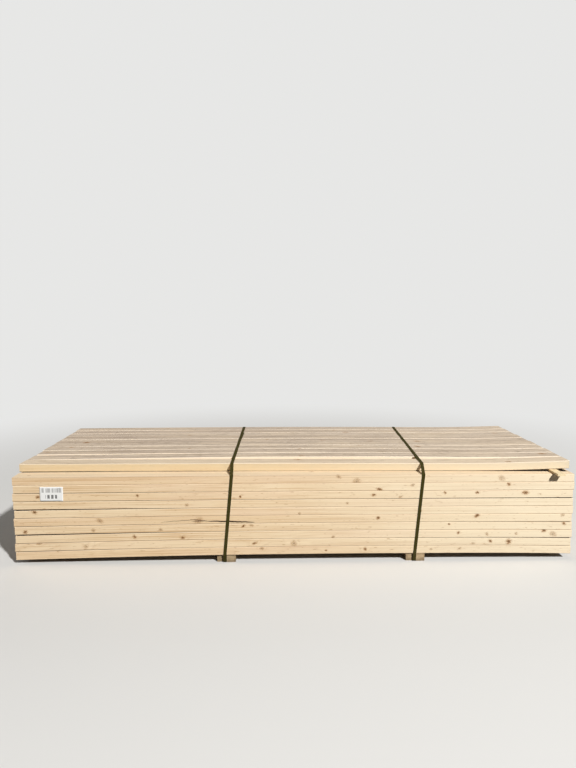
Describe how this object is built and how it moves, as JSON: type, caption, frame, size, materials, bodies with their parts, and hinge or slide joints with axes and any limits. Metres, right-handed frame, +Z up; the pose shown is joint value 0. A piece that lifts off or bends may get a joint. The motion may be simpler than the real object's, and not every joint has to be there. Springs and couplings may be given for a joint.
{
  "type": "stack of lumber",
  "caption": "Strapped stack of framing studs laid flat in courses on paired wooden runners, with a narrower top course, two plastic straps, a thin lath and a small paper tag.",
  "frame": {"origin": "centre of the stack's bounding box at ground level, under the runners", "axes": "+X along the studs towards the end with the lath, -Y towards the front face with the paper tag, +Z up"},
  "size_m": [2.6698, 1.118, 0.4792],
  "materials": {
    "stud_wood": "planed softwood, dry and matte",
    "runner_wood": "sawn softwood, greyed and dusty",
    "lath_wood": "rough sawn softwood",
    "strap_plastic": "dark olive plastic strapping, slightly glossy",
    "tag_paper": "white printed paper, matte"
  },
  "bodies": {
    "root": {"course_01": "stud_wood", "course_02": "stud_wood", "course_03": "stud_wood", "course_04": "stud_wood", "course_05": "stud_wood", "course_06": "stud_wood", "course_07": "stud_wood", "course_08": "stud_wood", "course_09": "stud_wood", "course_10": "stud_wood", "top_course": "stud_wood", "runner_left": "runner_wood", "runner_right": "runner_wood", "strap_left": "strap_plastic", "strap_right": "strap_plastic", "lath": "lath_wood", "tag": "tag_paper"}
  },
  "joints": []
}
